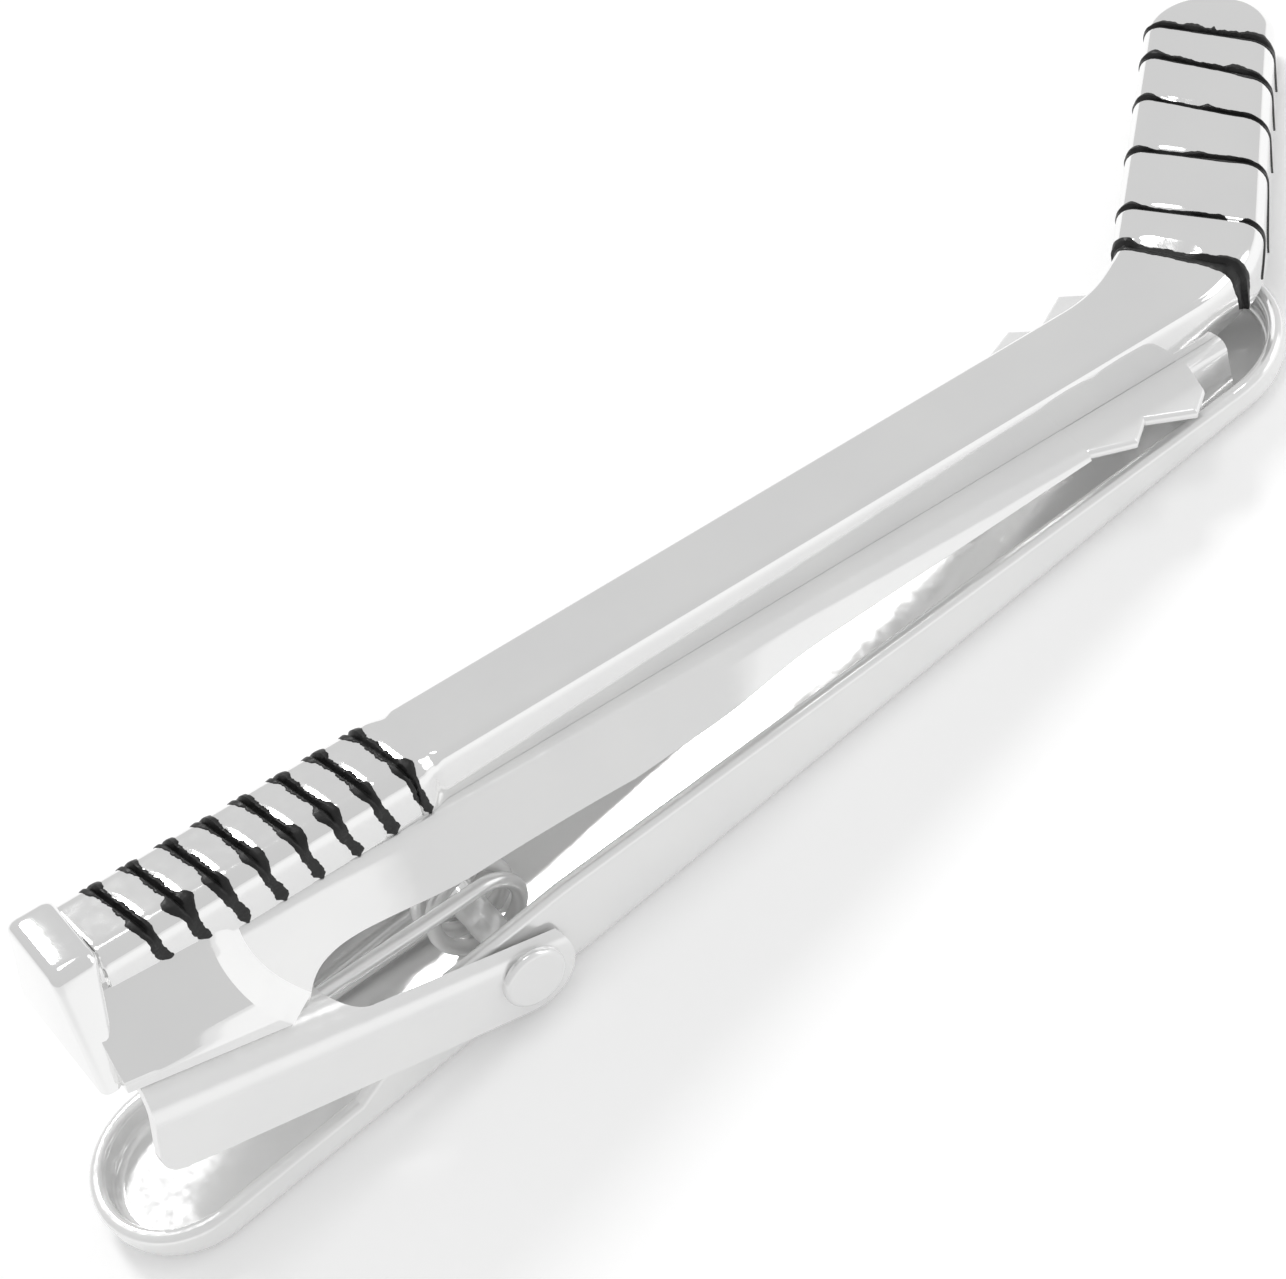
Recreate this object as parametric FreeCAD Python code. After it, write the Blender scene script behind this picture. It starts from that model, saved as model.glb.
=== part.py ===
import FreeCAD, Part
import math
import os

V = FreeCAD.Vector
Y_AXIS = V(0, 1, 0)
Z_AXIS = V(0, 0, 1)

# Tie clip shaped like a hockey stick. Millimetres and degrees, +Z up, blade end towards +X.
# The origin is the middle of the lower arm's flat underside, which lies on the table.

# Sheet metal and fits
SHEET = 0.45
SIDE_CLEARANCE = 0.2
JAW_CLEARANCE = 0.25
RUNNING_CLEARANCE = 0.05
RIVETED_CLEARANCE = 0.02

# Lower arm: a tray with rounded ends and turned-up walls, highest beside the hinge
ARM_LENGTH = 54.0
ARM_WIDTH = 7.0
ARM_WALL = 0.6
ARM_RIM_ROUND = 0.25
ARM_BOTTOM_ROUND = 0.8
ARM_TAIL_WALL = 1.6
ARM_EAR_WALL = 3.9
ARM_EAR_LENGTH = 5.0
ARM_EAR_RISE = 5.0
ARM_TIP_WALL = 1.5
ARM_TIP_FLAT = 4.0

# Hinge and its rivet
HINGE_X = -10.0
HINGE_Z = 2.05
CLOSED_ANGLE = 11.95
RIVET_RADIUS = 0.65
RIVET_HEAD_RADIUS = 1.25
RIVET_HEAD_HEIGHT = 0.3
RIVET_HEAD_ROUND = 0.2

# Stick, in its own frame: x from the butt end, z down from the top of the knob
BUTT_TO_HINGE = 15.6
KNOB_TO_HINGE = 10.05
KNOB_HEIGHT = 5.0
KNOB_TOP_LENGTH = 1.9
KNOB_FOOT_LENGTH = 0.8
KNOB_TOP_WIDTH = 3.4
KNOB_FOOT_WIDTH = 6.1
KNOB_ROUND = 0.3
KNOB_RISE = 0.5
SHAFT_WIDTH = 3.2
SHAFT_HEIGHT = 2.05
SHAFT_ROUND = 0.4
TAPE = 0.15
GRIP_LENGTH = 15.2
GRIP_ROUND = 0.5
FOOT_WIDTH = 7.0
FOOT_DROP = 1.5

# Blade, which turns away from the shaft behind a rounded heel
BLADE_CORNER = 46.4
BLADE_ANGLE = 46.6
BLADE_WIDTH = 5.35
BLADE_TOE_WIDTH = 4.6
BLADE_LENGTH = 15.5
BLADE_INNER_ROUND = 5.0
BLADE_HEEL_ROUND = 6.0
BLADE_TOE_ROUND = 1.3

# Enamel lines; each blade line has its shift from an even spacing and its slant
ENAMEL_WIDTH = 0.5
ENAMEL_DEPTH = 0.22
GRIP_LINES = 8
GRIP_LINE_FIRST = 3.4
GRIP_LINE_LAST = 1.37
GRIP_LINE_SLANT = 11.0
BLADE_LINE_FIRST = 1.0
BLADE_LINE_LAST = 2.25
BLADE_LINES = ((0.0, 15.0), (-0.3, 10.0), (0.4, 10.0), (0.6, 16.0), (0.5, 17.0), (0.0, 13.0))

# Upper jaw: a channel under the shaft that widens to a flat toothed stretch before its tip
JAW_NOSE_WIDTH = 3.3
JAW_LEAN = 14.0
JAW_BEND_ROUND = 0.6
JAW_NOSE = 5.6
JAW_SEAT = 0.3
JAW_HEEL_RUN = 1.3
JAW_HEEL_DEPTH = 2.7
JAW_TAPER = 13.6
JAW_TAPER_DEPTH = 2.0
JAW_WALL_END = 41.65
JAW_END_DEPTH = 0.6
JAW_TIP = 48.7
JAW_TIP_WIDTH = 4.2
JAW_TIP_LEAN = 6.0
TOOTH_COUNT = 2
TOOTH_PITCH = 2.5
TOOTH_PEAK = 0.65
TOOTH_HEIGHT = 0.7
TOOTH_ROOT_WIDTH = 6.4
TOOTH_SPREAD = 0.25

# Hinge bracket: a short web under the foot and two cheeks down to the rivet
BRACKET_BACK = 1.2
BRACKET_WEB = 7.4
BRACKET_BACK_HEIGHT = 3.9
BRACKET_BACK_LEAN = 0.35
BRACKET_BACK_ROUND = 1.0
BRACKET_NECK_ROUND = 1.5
BRACKET_BEND_ROUND = 1.5
CHEEK_ROUND = 1.75

# Torsion spring round the rivet
WIRE = 0.6
SPRING_RADIUS = 1.65
SPRING_PITCH = 1.05
SPRING_TURNS = 2
SPRING_LIFT = 0.55
SPRING_SEAT = 0.1
SPRING_REACH = 2.5

# Places that follow from the sizes above
SHAFT_TOP = -KNOB_RISE
SHAFT_BOTTOM = SHAFT_TOP - SHAFT_HEIGHT
GRIP_TOP = SHAFT_TOP + TAPE
GRIP_WIDTH = SHAFT_WIDTH + 2 * TAPE
ARM_BACK = -ARM_LENGTH / 2
ARM_FRONT = ARM_LENGTH / 2
BRACKET_WIDTH = ARM_WIDTH + 2 * SIDE_CLEARANCE + 2 * SHEET
WEB_UNDERSIDE = SHAFT_BOTTOM - SHEET
FAR = 2 * ARM_LENGTH
TINY = SHEET / 100


def to_world(shape):
    """Takes a shape from the stick's frame to its closed place over the lower arm."""
    placed = shape.copy()
    placed.translate(V(HINGE_X - BUTT_TO_HINGE, 0, HINGE_Z + KNOB_TO_HINGE))
    placed.rotate(V(HINGE_X, 0, HINGE_Z), Y_AXIS, CLOSED_ANGLE)
    return placed


def floor_height(x):
    """The stick-frame z of a point a jaw clearance above the tray floor, at the stick-frame x."""
    angle = math.radians(CLOSED_ANGLE)
    drop = SHEET + JAW_CLEARANCE - HINGE_Z
    return -KNOB_TO_HINGE + (drop + (x - BUTT_TO_HINGE) * math.sin(angle)) / math.cos(angle)


def polygon(points):
    return Part.Face(Part.makePolygon(points + points[:1]))


def side_prism(points, width):
    """Extrudes a side view, given as (x, z) points, across the middle plane."""
    face = polygon([V(x, -width / 2, z) for x, z in points])
    return face.extrude(V(0, width, 0))


def end_prism(points, start, length):
    """Extrudes an end view, given as (y, z) points, along x."""
    face = polygon([V(start, y, z) for y, z in points])
    return face.extrude(V(length, 0, 0))


def mid_box(x, length, width, z, height):
    return Part.makeBox(length, width, height, V(x, -width / 2, z))


def cross_pin(radius, width, x, z):
    return Part.makeCylinder(radius, width, V(x, -width / 2, z), Y_AXIS)


def edges_where(shape, test):
    return [edge for edge in shape.Edges if test(edge.BoundBox)]


def stadium(length, width, z, height):
    """A solid with round ends, on the middle line."""
    half = length / 2 - width / 2
    side = width / 2
    wire = Part.Wire([
        Part.LineSegment(V(-half, -side, z), V(half, -side, z)).toShape(),
        Part.Arc(V(half, -side, z), V(half + side, 0, z), V(half, side, z)).toShape(),
        Part.LineSegment(V(half, side, z), V(-half, side, z)).toShape(),
        Part.Arc(V(-half, side, z), V(-half - side, 0, z), V(-half, -side, z)).toShape(),
    ])
    return Part.Face(wire).extrude(V(0, 0, height))


def make_lower_arm():
    outer = stadium(ARM_LENGTH, ARM_WIDTH, 0, ARM_EAR_WALL)
    floor_edges = edges_where(outer, lambda box: box.ZMax < SHEET / 2)
    outer = outer.makeFillet(ARM_BOTTOM_ROUND, floor_edges)
    inner = stadium(ARM_LENGTH - 2 * ARM_WALL, ARM_WIDTH - 2 * ARM_WALL, SHEET, ARM_EAR_WALL)
    pocket_edges = edges_where(inner, lambda box: box.ZMax < SHEET + TINY)
    inner = inner.makeFillet(ARM_BOTTOM_ROUND - SHEET, pocket_edges)
    ear_back = HINGE_X - ARM_EAR_LENGTH / 2
    ear_front = HINGE_X + ARM_EAR_LENGTH / 2
    wall_line = side_prism([
        (ARM_BACK, 0), (ARM_FRONT, 0), (ARM_FRONT, ARM_TIP_WALL), (ARM_FRONT - ARM_TIP_FLAT, ARM_TIP_WALL),
        (ear_front, ARM_EAR_WALL), (ear_back, ARM_EAR_WALL), (ear_back - ARM_EAR_RISE, ARM_TAIL_WALL),
        (ARM_BACK, ARM_TAIL_WALL),
    ], ARM_WIDTH)
    arm = outer.cut(inner).common(wall_line)
    rim = edges_where(arm, lambda box: box.ZMax > ARM_TIP_WALL - TINY and box.ZMin > ARM_BOTTOM_ROUND + TINY
                      and max(box.XLength, box.YLength) > ARM_WALL + TINY)
    arm = arm.makeFillet(ARM_RIM_ROUND, rim)
    hole = cross_pin(RIVET_RADIUS + RUNNING_CLEARANCE, FAR, HINGE_X, HINGE_Z)
    return arm.cut(hole)


def make_rivet():
    pin = cross_pin(RIVET_RADIUS, BRACKET_WIDTH, HINGE_X, HINGE_Z)
    for side in (-1, 1):
        head = Part.makeCylinder(RIVET_HEAD_RADIUS, RIVET_HEAD_HEIGHT,
                                 V(HINGE_X, side * BRACKET_WIDTH / 2, HINGE_Z), V(0, side, 0))
        rim = [edge for edge in head.Edges
               if edge.Closed and abs(edge.CenterOfMass.y) > BRACKET_WIDTH / 2 + RIVET_HEAD_ROUND]
        pin = pin.fuse(head.makeFillet(RIVET_HEAD_ROUND, rim))
    return pin.removeSplitter()


def web_slope():
    """The bracket's back edge and the slope of its web, a tangent to the cheeks' round ends."""
    back = (BRACKET_BACK, -KNOB_HEIGHT)
    run = BUTT_TO_HINGE - back[0]
    fall = -KNOB_TO_HINGE - back[1]
    return back, math.atan2(fall, run) + math.asin(CHEEK_ROUND / math.hypot(run, fall))


def along_web(distance, depth=0.0):
    """A stick-frame (x, z) point at a distance along the web's upper face and a depth below it."""
    back, slope = web_slope()
    x = back[0] + distance * math.cos(slope) + depth * math.sin(slope)
    z = back[1] + distance * math.sin(slope) - depth * math.cos(slope)
    return x, z


def web_prism(start, upper, lower, width):
    """A block along the web from a start to far ahead, between two depths below its upper face."""
    corners = ((start, upper), (FAR, upper), (FAR, lower), (start, lower))
    return side_prism([along_web(*corner) for corner in corners], width)


def web_depth(point):
    """How far a stick-frame point lies below the web's upper face."""
    back, slope = web_slope()
    return (point.x - back[0]) * math.sin(slope) - (point.z - back[1]) * math.cos(slope)


def cheek_outline():
    """Side view of a cheek: a square back edge, then two tangents to the round end about the rivet."""
    back, slope = web_slope()
    hinge = (BUTT_TO_HINGE, -KNOB_TO_HINGE)
    low_back = along_web(BRACKET_BACK_LEAN, BRACKET_BACK_HEIGHT)
    run = hinge[0] - low_back[0]
    fall = hinge[1] - low_back[1]
    low_slope = math.atan2(fall, run) - math.asin(CHEEK_ROUND / math.hypot(run, fall))

    def on_round(angle):
        return V(hinge[0] + CHEEK_ROUND * math.cos(angle), 0, hinge[1] + CHEEK_ROUND * math.sin(angle))

    top = on_round(slope + math.pi / 2)
    low = on_round(low_slope - math.pi / 2)
    tip = on_round((slope + low_slope) / 2)
    start = V(back[0], 0, back[1])
    end = V(low_back[0], 0, low_back[1])
    return Part.Face(Part.Wire([
        Part.LineSegment(start, top).toShape(),
        Part.Arc(top, tip, low).toShape(),
        Part.LineSegment(low, end).toShape(),
        Part.LineSegment(end, start).toShape(),
    ]))


def bent_bar(depth):
    """A long bar along the web, from a depth below its upper face down, with rounded upper edges."""
    bar = web_prism(-FAR, depth, FAR, BRACKET_WIDTH - 2 * depth)
    bends = [edge for edge in bar.Edges if edge.BoundBox.YLength < TINY
             and all(abs(web_depth(vertex.Point) - depth) < TINY for vertex in edge.Vertexes)]
    return bar.makeFillet(BRACKET_BEND_ROUND - depth, bends)


def make_bracket():
    outline = cheek_outline()
    outline.translate(V(0, -BRACKET_WIDTH / 2, 0))
    solid = outline.extrude(V(0, BRACKET_WIDTH, 0))
    low_back = along_web(BRACKET_BACK_LEAN, BRACKET_BACK_HEIGHT)
    corner = edges_where(solid, lambda box: box.XLength < TINY and abs(box.XMin - low_back[0]) < TINY)
    solid = solid.makeFillet(BRACKET_BACK_ROUND, corner)
    solid = solid.common(bent_bar(0)).cut(bent_bar(SHEET))
    inside = BRACKET_WIDTH - 2 * SHEET
    past_web = web_prism(BRACKET_WEB, -FAR, FAR, inside)
    web_end = along_web(BRACKET_WEB)[0]
    neck = [edge for edge in past_web.Edges
            if edge.BoundBox.YLength < TINY and abs(edge.CenterOfMass.x - web_end) < TINY]
    past_web = past_web.makeFillet(BRACKET_NECK_ROUND, neck)
    hole = cross_pin(RIVET_RADIUS + RIVETED_CLEARANCE, FAR, BUTT_TO_HINGE, -KNOB_TO_HINGE)
    return solid.cut(past_web).cut(hole)


def nose_line(depth):
    """The x of the jaw's slanted nose at a depth below the shaft; it ends on the web's front edge."""
    foot_x, foot_z = along_web(BRACKET_WEB - JAW_SEAT)
    return JAW_NOSE + depth * (foot_x - JAW_NOSE) / (SHAFT_BOTTOM - foot_z)


def flared_block(start, end, lean, top):
    """A deep block with walls that lean outwards; its ends are (x, half width at the shaft's underside)."""
    spread = math.tan(math.radians(lean))
    rings = []
    for x, half in (start, end):
        upper = half + (SHAFT_BOTTOM - top) * spread
        lower = upper + FAR * spread
        rings.append([V(x, -upper, top), V(x, upper, top), V(x, lower, top - FAR), V(x, -lower, top - FAR)])
    first, last = rings
    faces = [polygon(first), polygon(last)]
    for index in range(len(first)):
        faces.append(polygon([first[index - 1], first[index], last[index], last[index - 1]]))
    return Part.makeSolid(Part.makeShell(faces))


def jaw_block(inset, top):
    """The jaw's channel, or its hollow where it is inset, as deep as may be."""
    return flared_block((JAW_NOSE, JAW_NOSE_WIDTH / 2 - inset), (JAW_WALL_END, TOOTH_ROOT_WIDTH / 2 - inset),
                        JAW_LEAN, top)


def make_upper_jaw():
    heel = along_web(BRACKET_WEB)
    side = side_prism([
        (JAW_NOSE, SHAFT_BOTTOM),
        (nose_line(FAR), SHAFT_BOTTOM - FAR),
        (nose_line(FAR) + FAR, SHAFT_BOTTOM - FAR),
        heel,
        (heel[0] + JAW_HEEL_RUN, SHAFT_BOTTOM - JAW_HEEL_DEPTH),
        (JAW_WALL_END - JAW_TAPER, SHAFT_BOTTOM - JAW_TAPER_DEPTH),
        (JAW_WALL_END, SHAFT_BOTTOM - JAW_END_DEPTH),
        (JAW_WALL_END, SHAFT_BOTTOM),
    ], FAR)
    above_web = web_prism(-FAR, -FAR, 0, FAR)
    channel = side.common(above_web).common(jaw_block(0, SHAFT_BOTTOM))
    bends = edges_where(channel, lambda box: box.ZMin > SHAFT_BOTTOM - TINY and box.XLength > SHAFT_WIDTH)
    channel = channel.makeFillet(JAW_BEND_ROUND, bends).cut(jaw_block(SHEET, WEB_UNDERSIDE))
    jaw = channel.fuse([make_toothed_plate(), make_jaw_tip()])
    return jaw.removeSplitter()


def make_toothed_plate():
    """The flat stretch: teeth point sideways from both edges, steep on the side of the tip."""
    root = TOOTH_ROOT_WIDTH / 2
    edge = [(JAW_WALL_END - SHEET, root - JAW_BEND_ROUND), (JAW_WALL_END, root)]
    for index in range(TOOTH_COUNT):
        start = JAW_WALL_END + index * TOOTH_PITCH
        side = root + index * TOOTH_SPREAD
        edge.append((start + TOOTH_PEAK * TOOTH_PITCH, side + TOOTH_HEIGHT))
        edge.append((start + TOOTH_PITCH, side))
    last = JAW_WALL_END + TOOTH_COUNT * TOOTH_PITCH
    edge.append((last + TOOTH_HEIGHT / 2, JAW_TIP_WIDTH / 2))
    edge += [(x, -y) for x, y in reversed(edge)]
    return polygon([V(x, y, WEB_UNDERSIDE) for x, y in edge]).extrude(V(0, 0, SHEET))


def make_jaw_tip():
    """The last stretch, whose short walls reach down to the tray floor."""
    start = JAW_WALL_END + TOOTH_COUNT * TOOTH_PITCH
    side = side_prism([(start, SHAFT_BOTTOM), (start, floor_height(start)), (JAW_TIP, floor_height(JAW_TIP)),
                       (JAW_TIP, SHAFT_BOTTOM)], FAR)

    def block(inset, top):
        half = JAW_TIP_WIDTH / 2 - inset
        return flared_block((start, half), (JAW_TIP, half), JAW_TIP_LEAN, top)

    return side.common(block(0, SHAFT_BOTTOM)).cut(block(SHEET, WEB_UNDERSIDE))


def blade_point(along, across):
    """A plan point from the inner corner of the blade: along it, and across it towards the heel."""
    angle = math.radians(BLADE_ANGLE)
    x = BLADE_CORNER + along * math.cos(angle) + across * math.sin(angle)
    y = SHAFT_WIDTH / 2 + along * math.sin(angle) - across * math.cos(angle)
    return V(x, y, 0)


def rounded_outline(corners):
    """A closed plan outline; each corner is (point, radius), joined by lines and tangent arcs."""
    count = len(corners)
    spans = []
    for index, (point, radius) in enumerate(corners):
        before = (corners[index - 1][0] - point).normalize()
        after = (corners[(index + 1) % count][0] - point).normalize()
        inward = (before + after).normalize()
        half = before.getAngle(after) / 2
        reach = radius / math.tan(half)
        middle = point + inward * (radius / math.sin(half) - radius)
        spans.append((point + before * reach, middle, point + after * reach, radius))
    edges = []
    for index, (start, middle, end, radius) in enumerate(spans):
        if radius:
            edges.append(Part.Arc(start, middle, end).toShape())
        edges.append(Part.LineSegment(end, spans[(index + 1) % count][0]).toShape())
    return Part.Wire(edges)


def stick_outline(grow):
    """Plan of shaft and blade, grown outwards by the given amount."""
    half = SHAFT_WIDTH / 2
    toe = blade_point(BLADE_LENGTH, BLADE_TOE_WIDTH)
    root = blade_point(0, BLADE_WIDTH)
    heel = root + (root - toe) * ((root.y + half) / (toe.y - root.y))
    wire = rounded_outline([
        (V(KNOB_FOOT_LENGTH, half, 0), 0),
        (V(KNOB_FOOT_LENGTH, -half, 0), 0),
        (heel, BLADE_HEEL_ROUND),
        (toe, BLADE_TOE_ROUND),
        (blade_point(BLADE_LENGTH, 0), BLADE_TOE_ROUND),
        (blade_point(0, 0), BLADE_INNER_ROUND),
    ])
    return wire.makeOffset2D(grow) if grow else wire


def stick_slab(grow, rise, round_top):
    """Shaft and blade as one slab from the shaft's underside up, with a rounded upper edge."""
    top = SHAFT_TOP + rise
    face = Part.Face(stick_outline(grow))
    face.translate(V(0, 0, SHAFT_BOTTOM))
    slab = face.extrude(V(0, 0, top - SHAFT_BOTTOM))
    if round_top:
        slab = slab.makeFillet(SHAFT_ROUND, edges_where(slab, lambda box: box.ZMin > top - SHEET / 10))
    return slab


def across_blade(along, slant, thickness):
    """A thick upright plane across the blade, from its place along the blade towards the toe."""
    wall = Part.makeBox(thickness, 2 * FAR, 2 * FAR, V(0, -FAR, -FAR))
    wall.rotate(V(0, 0, 0), Z_AXIS, BLADE_ANGLE - slant)
    middle = blade_point(along, BLADE_WIDTH / 2)
    wall.translate(middle)
    return wall


def grip_block(shrink, start, length):
    """The taped grip, or its core where it is shrunk, with rounded upper edges."""
    half = GRIP_WIDTH / 2 - shrink
    top = GRIP_TOP - shrink
    block = end_prism([(-half, SHAFT_BOTTOM), (half, SHAFT_BOTTOM), (half, top), (-half, top)], start, length)
    return block.makeFillet(GRIP_ROUND, edges_where(block, lambda box: box.ZMin > top - SHEET / 10
                                                    and box.XLength > SHEET))


def make_knob():
    """The flared butt end: wide and thin at its foot, narrow and thick at its top."""
    def ring(length, width, z):
        return Part.makePolygon([V(0, -width / 2, z), V(length, -width / 2, z), V(length, width / 2, z),
                                 V(0, width / 2, z), V(0, -width / 2, z)])

    knob = Part.makeLoft([ring(KNOB_FOOT_LENGTH, KNOB_FOOT_WIDTH, -KNOB_HEIGHT),
                          ring(KNOB_TOP_LENGTH, KNOB_TOP_WIDTH, 0)], True, True)
    return knob.makeFillet(KNOB_ROUND, edges_where(knob, lambda box: box.ZMax > -KNOB_HEIGHT / 2))


def make_foot():
    """The flared block under the grip, from the knob to the jaw's nose, seated on the bracket's web."""
    half_top = GRIP_WIDTH / 2
    half_low = FOOT_WIDTH / 2
    foot_top = SHAFT_TOP - FOOT_DROP
    right = [(half_top, foot_top), (half_low, -KNOB_HEIGHT), (half_low, -FAR)]
    flare = end_prism(right + [(-y, z) for y, z in reversed(right)], 0, FAR)
    above_web = web_prism(-FAR, -FAR, 0, FAR)
    behind_nose = side_prism([(-FAR, SHAFT_TOP), (-FAR, -FAR), (nose_line(FAR), SHAFT_BOTTOM - FAR),
                              (JAW_NOSE, SHAFT_BOTTOM), (JAW_NOSE, SHAFT_TOP)], FAR)
    back = mid_box(KNOB_FOOT_LENGTH / 2, FAR, FAR, -KNOB_HEIGHT - FAR, FAR + KNOB_HEIGHT)
    return flare.common(behind_nose).common(above_web).common(back)


def grip_fills():
    """The enamel in the grooves round the top and sides of the grip."""
    skin = grip_block(0, 0, GRIP_LENGTH).cut(grip_block(ENAMEL_DEPTH, 0, GRIP_LENGTH))
    pitch = (GRIP_LENGTH - GRIP_LINE_FIRST - GRIP_LINE_LAST) / (GRIP_LINES - 1)
    fills = []
    for index in range(GRIP_LINES):
        wall = mid_box(-ENAMEL_WIDTH / 2, ENAMEL_WIDTH, FAR, -FAR, 2 * FAR)
        wall.rotate(V(0, 0, 0), Z_AXIS, GRIP_LINE_SLANT)
        wall.translate(V(GRIP_LINE_FIRST + index * pitch, 0, 0))
        fills.append(skin.common(wall))
    return fills


def blade_line(index):
    """The place along the blade and the slant of one of its enamel lines."""
    pitch = (BLADE_LENGTH - BLADE_LINE_FIRST - BLADE_LINE_LAST) / (len(BLADE_LINES) - 1)
    shift, slant = BLADE_LINES[index]
    return BLADE_LINE_FIRST + index * pitch + shift, slant


def blade_fills():
    """The enamel in the grooves round the top and sides of the blade."""
    skin = stick_slab(TAPE, TAPE, True).cut(stick_slab(TAPE - ENAMEL_DEPTH, TAPE - ENAMEL_DEPTH, False))
    return [skin.common(across_blade(*blade_line(index), ENAMEL_WIDTH)) for index in range(len(BLADE_LINES))]


def make_casting(fills):
    taped_blade = stick_slab(TAPE, TAPE, True).common(across_blade(*blade_line(0), FAR))
    grip = grip_block(0, KNOB_FOOT_LENGTH / 2, GRIP_LENGTH - KNOB_FOOT_LENGTH / 2)
    casting = stick_slab(0, 0, True).fuse([taped_blade, grip, make_knob(), make_foot()])
    return casting.cut(fills)


def biarc(start, start_dir, end, end_dir):
    """Two arcs that join two points and keep both directions."""
    chord = end - start
    both = start_dir + end_dir
    bend = 2 * (1 - start_dir.dot(end_dir))
    lean = chord.dot(both)
    reach = (-lean + math.sqrt(lean * lean + bend * chord.dot(chord))) / bend
    first = start + start_dir * reach
    second = end - end_dir * reach
    joint = (first + second) * 0.5
    arcs = []
    for begin, corner, finish in ((start, first, joint), (joint, second, end)):
        middle = (begin + finish) * 0.5
        half = (finish - begin).Length / 2
        to_corner = corner - middle
        rise = half * math.tan(math.atan2(to_corner.Length, half) / 2)
        arcs.append(Part.Arc(begin, middle + to_corner.normalize() * rise, finish).toShape())
    return arcs


def to_world_point(x, z):
    """A stick-frame (x, z) point at its closed place, as a world (x, z) point."""
    angle = math.radians(CLOSED_ANGLE)
    right = x - BUTT_TO_HINGE
    up = z + KNOB_TO_HINGE
    return (HINGE_X + right * math.cos(angle) + up * math.sin(angle),
            HINGE_Z - right * math.sin(angle) + up * math.cos(angle))


def spring_path():
    """Leg on the tray floor, turns round the rivet in quarter turns, leg under the bracket's web."""
    centre = (HINGE_X, HINGE_Z + SPRING_LIFT)
    seat = SHEET + SPRING_SEAT + WIRE / 2
    web_edge = to_world_point(*along_web(BRACKET_WEB, seat))
    floor_seat = (web_edge[0] - SPRING_REACH, seat)

    def tangent(point):
        """The direction of a point from the coil, the leg's length to it and the turn that the leg makes."""
        right = point[0] - centre[0]
        up = point[1] - centre[1]
        leg = math.sqrt(right * right + up * up - SPRING_RADIUS ** 2)
        return math.atan2(up, right), leg, math.atan2(leg, SPRING_RADIUS)

    low_angle, low_leg, low_turn = tangent(floor_seat)
    high_angle, high_leg, high_turn = tangent(web_edge)
    first = low_angle + low_turn
    last = high_angle - high_turn
    last += 2 * math.pi * (SPRING_TURNS + math.ceil((first - last) / (2 * math.pi)))
    climb = -SPRING_PITCH / (2 * math.pi)
    middle = (first + last) / 2

    def place(angle):
        return V(centre[0] + SPRING_RADIUS * math.cos(angle), climb * (angle - middle),
                 centre[1] + SPRING_RADIUS * math.sin(angle))

    def heading(angle):
        return V(-SPRING_RADIUS * math.sin(angle), climb, SPRING_RADIUS * math.cos(angle)).normalize()

    steps = 4 * SPRING_TURNS + 2
    angles = [first + (last - first) * step / steps for step in range(steps + 1)]
    edges = [Part.LineSegment(place(first) - heading(first) * low_leg, place(first)).toShape()]
    for start, end in zip(angles, angles[1:]):
        edges += biarc(place(start), heading(start), place(end), heading(end))
    leg_end = place(last) + heading(last) * (high_leg + SPRING_REACH)
    edges.append(Part.LineSegment(place(last), leg_end).toShape())
    return Part.Wire(edges)


def spring_gap(path):
    """The least gap of the wire to itself, on points a small step apart."""
    step = WIRE / 6
    points = path.discretize(Distance=step)
    apart = int(math.pi * SPRING_RADIUS / step)
    least = min(point.distanceToPoint(other)
                for index, point in enumerate(points) for other in points[index + apart:])
    return least - WIRE


def make_spring():
    path = spring_path()
    print("spring: least gap to itself %.2f mm" % spring_gap(path))
    start = path.OrderedEdges[0]
    circle = Part.Wire(Part.makeCircle(WIRE / 2, start.valueAt(start.FirstParameter),
                                       start.tangentAt(start.FirstParameter)))
    spring = path.makePipeShell([circle], True, False)
    print("spring: volume %.3f of %.3f" % (spring.Volume, math.pi * WIRE ** 2 / 4 * path.Length))
    return spring


def all_nodes():
    grip = grip_fills()
    blade = blade_fills()
    nodes = {
        "lower_arm": make_lower_arm(),
        "hinge_rivet": make_rivet(),
        "torsion_spring": make_spring(),
        "hinge_bracket": to_world(make_bracket()),
        "upper_jaw": to_world(make_upper_jaw()),
        "stick_casting": to_world(make_casting(grip + blade)),
    }
    for index, fill in enumerate(grip, 1):
        nodes["grip_enamel_%d" % index] = to_world(fill)
    for index, fill in enumerate(blade, 1):
        nodes["blade_enamel_%d" % index] = to_world(fill)
    return nodes


os.makedirs("parts", exist_ok=True)
for name, shape in all_nodes().items():
    box = shape.BoundBox
    print("%-16s solids %d valid %s volume %8.3f  x %6.2f %6.2f  y %6.2f %6.2f  z %6.2f %6.2f" % (
        name, len(shape.Solids), shape.isValid(), shape.Volume,
        box.XMin, box.XMax, box.YMin, box.YMax, box.ZMin, box.ZMax))
    shape.exportStep("parts/%s.step" % name)
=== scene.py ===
import math
import random

import bpy
import numpy as np
from mathutils import Matrix, Vector


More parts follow.
